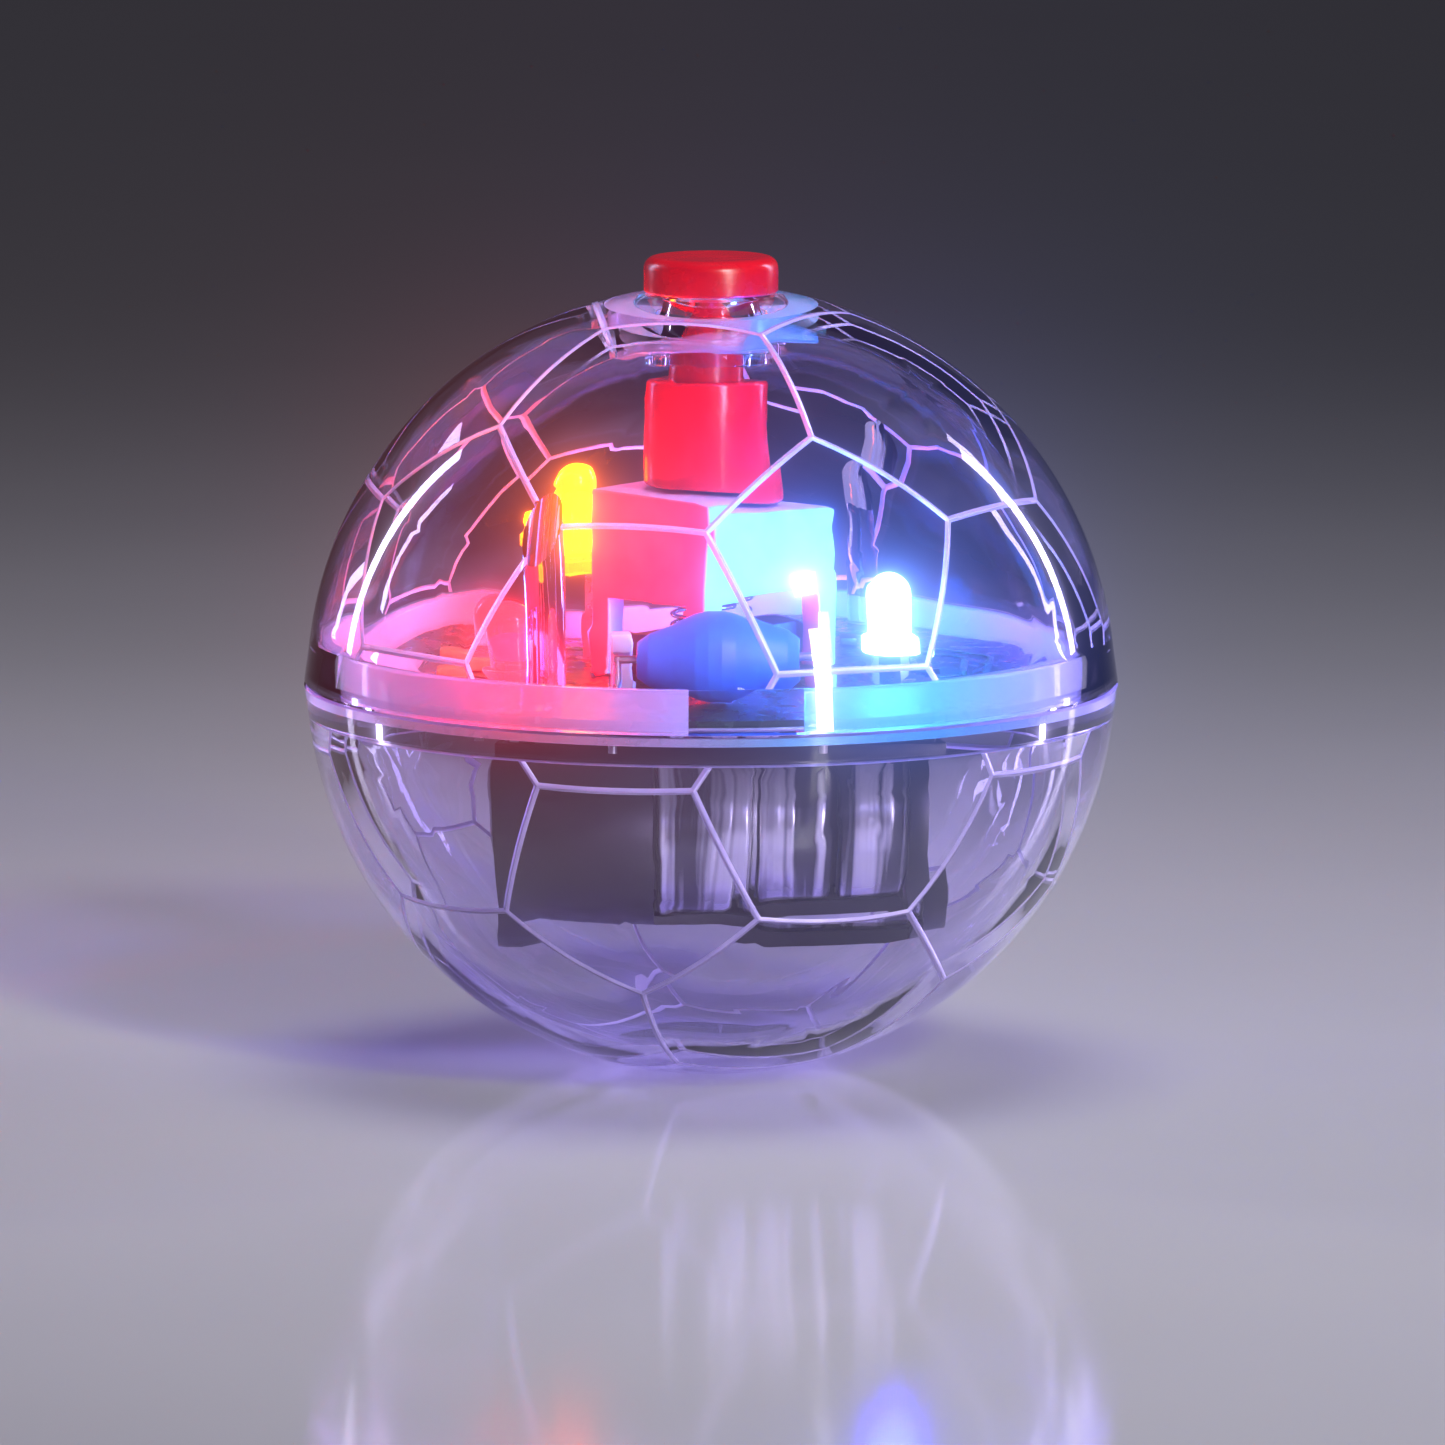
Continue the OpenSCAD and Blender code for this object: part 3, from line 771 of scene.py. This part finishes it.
dress("switch_housing", "ball", "white_plastic", housing_nylon_painted_lamp_light, 0.18, 3)
dress("switch_base", "ball", "black_plastic", base_bakelite, 0.10)
dress("battery_holder", "ball", "black_plastic", black_abs, 0.12)
dress("board_clip", "ball", "white_plastic", white_nylon, 0.15)
dress("circuit_board", "ball", "board", board_green, 0.04, 1)
dress("resistors", "ball", "black_plastic", base_bakelite, 0.05)
dress("capacitor", "ball", "ceramic", chip_ceramic, 0.08)
dress("contact_plate", "ball", "tinned_metal", tinned, 0.04)
dress("switch_stem", "button", "black_plastic", black_abs, 0.10)

# ---- springs, which follow a coiled path ----


def new_tree(name, wants):
    """A Geometry Nodes tree with the named inputs, and its input sockets."""
    tree = bpy.data.node_groups.new(name, "GeometryNodeTree")
    for label, kind, value in wants:
        socket = tree.interface.new_socket(label, in_out="INPUT", socket_type="NodeSocket" + kind)
        if value is not None:
            socket.default_value = value
    tree.interface.new_socket("Geometry", in_out="OUTPUT", socket_type="NodeSocketGeometry")
    return tree, put(tree, "NodeGroupInput").outputs


def applied(holder, tree, **sizes):
    """Runs a tree on an object with its sizes set by name, and keeps only the plain mesh."""
    modifier = holder.modifiers.new("tree", "NODES")
    modifier.node_group = tree
    names = {i.name: i.identifier for i in tree.interface.items_tree if i.in_out == "INPUT"}
    for key, value in sizes.items():
        modifier[names[key.replace("_", " ")]] = value
    graph = bpy.context.evaluated_depsgraph_get()
    mesh = bpy.data.meshes.new_from_object(holder.evaluated_get(graph))
    holder.modifiers.clear()
    holder.data = mesh
    return holder


def coil_tree():
    tree, given = new_tree(
        "Coil of round wire",
        [
            ("Turns", "Float", 4.0),
            ("Bottom Radius", "Float", 2.0 * MM),
            ("Top Radius", "Float", 2.0 * MM),
            ("Length", "Float", 2.0 * MM),
            ("Wire Radius", "Float", 0.16 * MM),
            ("Steps A Turn", "Int", 36),
            ("Wire Sides", "Int", 12),
            ("Finish", "Material", None),
        ],
    )
    path = put(
        tree,
        "GeometryNodeCurveSpiral",
        {
            "Resolution": given["Steps A Turn"],
            "Rotations": given["Turns"],
            "Start Radius": given["Bottom Radius"],
            "End Radius": given["Top Radius"],
            "Height": given["Length"],
        },
    )
    section = put(
        tree,
        "GeometryNodeCurvePrimitiveCircle",
        {"Resolution": given["Wire Sides"], "Radius": given["Wire Radius"]},
    )
    wire = put(
        tree,
        "GeometryNodeCurveToMesh",
        {"Curve": path.outputs["Curve"], "Profile Curve": section.outputs["Curve"], "Fill Caps": True},
    )
    plain = put(tree, "GeometryNodeRealizeInstances", {"Geometry": wire.outputs["Mesh"]})
    finish = {"Geometry": plain.outputs["Geometry"], "Material": given["Finish"]}
    done = put(tree, "GeometryNodeSetMaterial", finish)
    put(tree, "NodeGroupOutput", {"Geometry": done.outputs["Geometry"]})
    return tree


COIL = coil_tree()


def coil(name, place, **sizes):
    """One spring from the coil tree, with its place in its mesh."""
    holder = bpy.data.objects.new(name, bpy.data.meshes.new(name))
    bpy.context.scene.collection.objects.link(holder)
    applied(holder, COIL, **sizes)
    holder.data.transform(place)
    holder.data.shade_smooth()
    return holder


def return_spring():
    """The spring under the button, made to the length of the CAD spring. The real spring is squeezed as the
    button goes down.
    """
    low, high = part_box("switch_spring")
    wire_r = 0.16 * MM
    spring = coil(
        "switch_return_spring",
        Matrix.Translation((0, 0, low.z + wire_r)),
        Turns=4.0,
        Bottom_Radius=2.0 * MM,
        Top_Radius=2.0 * MM,
        Length=high.z - low.z - 2 * wire_r,
        Wire_Radius=wire_r,
        Finish=spring_wire,
    )
    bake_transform(spring)
    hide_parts("switch_spring")


def cell_spring():
    """The tapered spring at the end of the cells, and its last turn that stands up to the board."""
    low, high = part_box("contact_spring")
    wire_r = 0.25
    start = Vector((low.x + wire_r * MM, 0, CELL_Z * MM))
    spring = coil(
        "battery_contact_spring",
        Matrix.Translation(start) @ Matrix.Rotation(math.radians(90), 4, "Y"),
        Turns=5.0,
        Bottom_Radius=3.6 * MM,
        Top_Radius=2.4 * MM,
        Length=high.x - low.x - 2 * wire_r * MM,
        Wire_Radius=wire_r * MM,
        Finish=spring_wire,
    )
    finish_piece(spring, "ball", "spring_steel", "contact_spring")
    rise = 3.4
    tall = BOARD_TOP + 0.3 - CELL_Z - rise
    tail = turned([(0, 0), (wire_r, 0), (wire_r, tall), (0, tall)], 16)
    shifted(tail, start.x, 0, start.z + rise * MM)
    finish_piece(make_object("battery_spring_tail", tail, spring_wire), "ball", "spring_steel")


return_spring()
cell_spring()

# ---- button cells ----


def cell(node):
    low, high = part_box(node)
    long = (high.x - low.x) / MM
    start = (low.x, 0, CELL_Z * MM)
    can = corner(
        [
            (0, long, 0),
            (CELL_R, long, 0.5),
            (CELL_R, 0.52, 0.3),
            (CELL_LID_R, 0.52, 0.1),
            (CELL_LID_R, 0.4, 0),
        ]
    )
    lid = corner([(CELL_LID_R, 0.4, 0), (5.0, 0.4, 0.05), (4.85, 0.0, 0.3), (0, 0.0, 0)])
    body = laid_over(turned(can + lid[1:]), start)
    finish_piece(make_object(node + "_can", body, nickel_can), "ball", "cell_steel", node)
    inner = CELL_LID_R + 0.01
    lip = corner([(inner, 0.5, 0), (5.5, 0.5, 0.04), (5.45, 0.34, 0.04), (inner, 0.34, 0)])
    ring = laid_over(turned(lip, closed=True), start)
    finish_piece(make_object(node + "_gasket", ring, gasket_black), "ball", "black_plastic")


for node in ("cell_left", "cell_middle", "cell_right"):
    cell(node)

# ---- lamps ----


def lamp(node, lens_material, glow_material, slot):
    """A round lamp: the tinted body, its lit heart and the two metal posts inside."""
    low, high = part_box(node)
    x, y = (low.x + high.x) / 2, (low.y + high.y) / 2
    foot = low.z / MM
    shoulder = high.z / MM - LAMP_R
    outline = corner(
        [
            (0, foot, 0),
            (LAMP_FLANGE_R, foot, 0.1),
            (LAMP_FLANGE_R, foot + 1.0, 0.12),
            (LAMP_R, foot + 1.0, 0.08),
            (LAMP_R, shoulder, 0),
        ]
    )
    outline += arc(shoulder, LAMP_R, 90, 0, 12)[1:]
    lens = make_object(node + "_lens", shifted(turned(outline, 48), x, y, 0), lens_material)
    finish_piece(lens, "ball", slot, node)
    heart = [(0, foot + 1.5), (0.75, foot + 1.5), (0.95, foot + 2.3)] + arc(foot + 2.4, 0.95, 80, 0, 8)
    heart = make_object(node + "_heart", shifted(turned(heart, 32), x, y, 0), glow_material)
    finish_piece(heart, "ball", slot)
    for name, side, tall in (("left", -1, 1.3), ("right", 1, 1.45)):
        post = block(0.5 * MM, 0.4 * MM, tall * MM)
        shifted(post, x + side * 0.62 * MM, y, (foot + 0.1 + tall / 2) * MM)
        bmesh.ops.bevel(post, geom=post.edges[:], offset=0.05 * MM, segments=1, affect="EDGES")
        finish_piece(make_object(f"{node}_post_{name}", post, tinned), "ball", "tinned_metal")


lamp("lamp_red", red_lens, red_glow, "red_lens")
lamp("lamp_blue", blue_lens, blue_glow, "blue_lens")
lamp("lamp_yellow", yellow_lens, yellow_glow, "yellow_lens")

# ---- motion sensor ----


def sensor():
    """The sensor's sleeve, shrunk down over the lead at both ends."""
    low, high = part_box("sensor_sleeve")
    long = (high.x - low.x) / MM
    r = (high.z - low.z) / 2 / MM
    taper = [
        (0.42, 0.0, 0),
        (1.1, 0.0, 0.2),
        (1.6, 0.7, 0.4),
        (r - 0.85, 2.2, 1.0),
        (r - 0.15, 3.6, 1.0),
        (r, 4.4, 0.5),
    ]
    outline = corner(taper + [(w, long - z, c) for w, z, c in reversed(taper)])
    shape = laid_over(turned(outline, 64, True), (low.x, (low.y + high.y) / 2, (low.z + high.z) / 2))
    sleeve = make_object("sensor_sleeve_shrunk", shape, blue_sleeve)
    finish_piece(sleeve, "ball", "blue_sleeve", "sensor_sleeve")


sensor()

# ---- printed tracks and pads, which follow paths over the board ----


def middle_of(node):
    low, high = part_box(node)
    return (low.x + high.x) / 2 / MM, (low.y + high.y) / 2 / MM


def printed_tree():
    tree, given = new_tree(
        "Printed tracks and pads",
        [
            ("Geometry", "Geometry", None),
            ("Track Width", "Float", 0.55 * MM),
            ("Track Height", "Float", 0.05 * MM),
            ("Pad Radius", "Float", 0.8 * MM),
            ("Mask", "Material", None),
            ("Tin", "Material", None),
        ],
    )
    lines = put(tree, "GeometryNodeMeshToCurve", {"Mesh": given["Geometry"]})
    section = put(
        tree,
        "GeometryNodeCurvePrimitiveQuadrilateral",
        {"Width": given["Track Width"], "Height": given["Track Height"]},
    )
    raised = put(
        tree,
        "GeometryNodeCurveToMesh",
        {"Curve": lines.outputs["Curve"], "Profile Curve": section.outputs["Curve"], "Fill Caps": True},
    )
    mask = {"Geometry": raised.outputs["Mesh"], "Material": given["Mask"]}
    masked = put(tree, "GeometryNodeSetMaterial", mask)
    ends = put(tree, "GeometryNodeCurveEndpointSelection", {"Start Size": 1, "End Size": 1})
    pad = put(
        tree,
        "GeometryNodeMeshCylinder",
        {"Vertices": 24, "Radius": given["Pad Radius"], "Depth": given["Track Height"]},
    )
    placed = put(
        tree,
        "GeometryNodeInstanceOnPoints",
        {
            "Points": lines.outputs["Curve"],
            "Selection": ends.outputs["Selection"],
            "Instance": pad.outputs["Mesh"],
        },
    )
    tin = {"Geometry": placed.outputs["Instances"], "Material": given["Tin"]}
    tinned_pads = put(tree, "GeometryNodeSetMaterial", tin)
    both = put(tree, "GeometryNodeJoinGeometry")
    tree.links.new(masked.outputs["Geometry"], both.inputs["Geometry"])
    tree.links.new(tinned_pads.outputs["Geometry"], both.inputs["Geometry"])
    plain = put(tree, "GeometryNodeRealizeInstances", {"Geometry": both.outputs["Geometry"]})
    put(tree, "NodeGroupOutput", {"Geometry": plain.outputs["Geometry"]})
    return tree


def printed_tracks():
    """Tracks from the leads of the lamps and the sensor to the chip, raised on the board's top."""
    (red_x, red_y), (blue_x, blue_y) = middle_of("lamp_red"), middle_of("lamp_blue")
    yellow_x, yellow_y = middle_of("lamp_yellow")
    chip_x, chip_y = middle_of("chip_blob")
    sensor_y = middle_of("sensor_sleeve")[1]
    chip_left, chip_right = chip_x - 3.6, chip_x + 3.6
    routes = [
        [
            (red_x - 1, red_y),
            (red_x - 1, -3.0),
            (-16.0, -0.6),
            (-16.0, 6.0),
            (-9.0, 13.0),
            (chip_left, chip_y + 0.5),
        ],
        [(red_x + 1, red_y), (red_x + 1, -4.5), (-10.0, -3.0)],
        [(blue_x + 1, blue_y), (14.6, -1.2), (14.6, 6.0), (9.0, 11.6), (chip_right, chip_y - 0.4)],
        [(blue_x - 1, blue_y), (10.2, -6.0), (8.8, -7.4), (3.0, -8.6)],
        [(yellow_x - 1, yellow_y), (-11.6, 8.5), (-11.6, 9.6), (-9.0, 12.0), (chip_left, chip_y - 0.5)],
        [(yellow_x + 1, yellow_y), (-6.4, 8.4), (-4.5, 10.4)],
        [
            (6.4, sensor_y),
            (14.6, sensor_y + 8.2),
            (16.4, -4.2),
            (16.4, 6.5),
            (10.0, 12.9),
            (chip_right, chip_y + 0.4),
        ],
        [(-5.6, sensor_y), (-9.6, -12.2), (-14.0, -12.2), (-18.0, -8.2), (-18.0, -2.0)],
    ]
    bm = bmesh.new()
    level = (BOARD_TOP + 0.005) * MM
    for route in routes:
        points = [bm.verts.new((x * MM, y * MM, level)) for x, y in route]
        for a, b in zip(points, points[1:]):
            bm.edges.new((a, b))
    mesh = bpy.data.meshes.new("tracks")
    bm.to_mesh(mesh)
    bm.free()
    holder = bpy.data.objects.new("board_tracks", mesh)
    bpy.context.scene.collection.objects.link(holder)
    applied(holder, printed_tree(), Mask=track_mask, Tin=tinned)
    finish_piece(holder, "ball", "board")


printed_tracks()

# ---- CAD nodes that keep their own shape ----

for node, material in (
    ("switch_pins", tinned),
    ("lamp_red_legs", tinned),
    ("lamp_blue_legs", tinned),
    ("lamp_yellow_legs", tinned),
    ("sensor_coil", gold_wire),
    ("sensor_pin", tinned),
    ("chip_blob", blob_epoxy),
    ("solder_joints", solder),
):
    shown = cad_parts[node]
    shown.data.materials.clear()
    shown.data.materials.append(material)

# ---- stage, light and camera ----


def floor_and_sky():
    """A pale, faintly glossy floor, and a dim sky so that the lit lamps stand out."""
    floor = bmesh.new()
    bmesh.ops.create_grid(floor, x_segments=1, y_segments=1, size=3.0)
    material, tree = new_material("pale studio floor")
    skin = put(
        tree,
        "ShaderNodeBsdfPrincipled",
        {"Base Color": mottled(tree, "#CFCED6", "#D2D1D9", 60.0), "Roughness": 0.09, "IOR": 1.5},
    )
    put(tree, "ShaderNodeOutputMaterial", {"Surface": skin.outputs["BSDF"]})
    make_object("floor", floor, material)
    world = bpy.data.worlds.new("soft studio")
    bpy.context.scene.world = world
    world.use_nodes = True
    world.node_tree.nodes.clear()
    sky = put(world.node_tree, "ShaderNodeBackground", {"Color": paint("#D6D2E6"), "Strength": 0.05})
    put(world.node_tree, "ShaderNodeOutputWorld", {"Surface": sky.outputs["Background"]})


def softbox(name, place, size, power, tint, beam, in_glass=True):
    """A soft rectangular light, in metres and watts, that looks at the middle of the ball."""
    lamp_data = bpy.data.lights.new(name, "AREA")
    lamp_data.shape = "RECTANGLE"
    lamp_data.size, lamp_data.size_y = size
    lamp_data.energy = power
    lamp_data.spread = math.radians(beam)
    lamp_data.color = paint(tint)[:3]
    light = bpy.data.objects.new(name, lamp_data)
    light.location = place
    light.rotation_mode = "QUATERNION"
    light.rotation_quaternion = (Vector(place) - Vector((0, 0, 0.024))).to_track_quat("Z", "Y")
    # The clear walls would mirror this light as a white sheet over the button
    if not in_glass:
        light.visible_glossy = False
        light.visible_transmission = False
    bpy.context.scene.collection.objects.link(light)


def lens_bloom():
    """The soft halo that a lens gives round the lit lamps."""
    scene = bpy.context.scene
    scene.view_settings.view_transform = "Standard"
    scene.use_nodes = True
    tree = scene.node_tree
    tree.nodes.clear()
    seen = put(tree, "CompositorNodeRLayers")
    bloom = put(
        tree,
        "CompositorNodeGlare",
        {"Image": seen.outputs["Image"], "Threshold": 1.4, "Strength": 0.85, "Size": 0.5, "Saturation": 1.0},
        glare_type="BLOOM",
        quality="HIGH",
    )
    put(tree, "CompositorNodeComposite", {"Image": bloom.outputs["Image"]})


def camera():
    far, rise, frame_w = 0.833, math.radians(8.0), 0.0893
    aim = Vector((0.71 * MM, 0.0, (SEAM_Z - 2.66) * MM))
    lens_data = bpy.data.cameras.new("camera")
    lens_data.sensor_width = 36.0
    lens_data.lens = lens_data.sensor_width * far / frame_w
    lens_data.clip_start = 0.01
    lens_data.clip_end = 20.0
    eye = bpy.data.objects.new("camera", lens_data)
    eye.location = aim + Vector((0, -math.cos(rise), math.sin(rise))) * far
    eye.rotation_mode = "QUATERNION"
    eye.rotation_quaternion = (eye.location - aim).to_track_quat("Z", "Y")
    bpy.context.scene.collection.objects.link(eye)
    bpy.context.scene.camera = eye


floor_and_sky()
softbox("left softbox", (-0.30, 0.20, 0.14), (0.022, 0.24), 0.06, "#DCD2FF", 60)
softbox("right softbox", (0.30, 0.20, 0.14), (0.022, 0.24), 0.06, "#DCD2FF", 60)
softbox("top softbox", (0.02, 0.06, 0.42), (0.20, 0.20), 0.26, "#F4F2FF", 90, in_glass=False)
softbox("front softbox", (0.20, -0.34, 0.30), (0.05, 0.05), 0.13, "#FFFFFF", 60)
softbox("low front softbox", (0.25, -0.41, 0.12), (0.04, 0.20), 0.13, "#FFFAF4", 60)
lens_bloom()
camera()
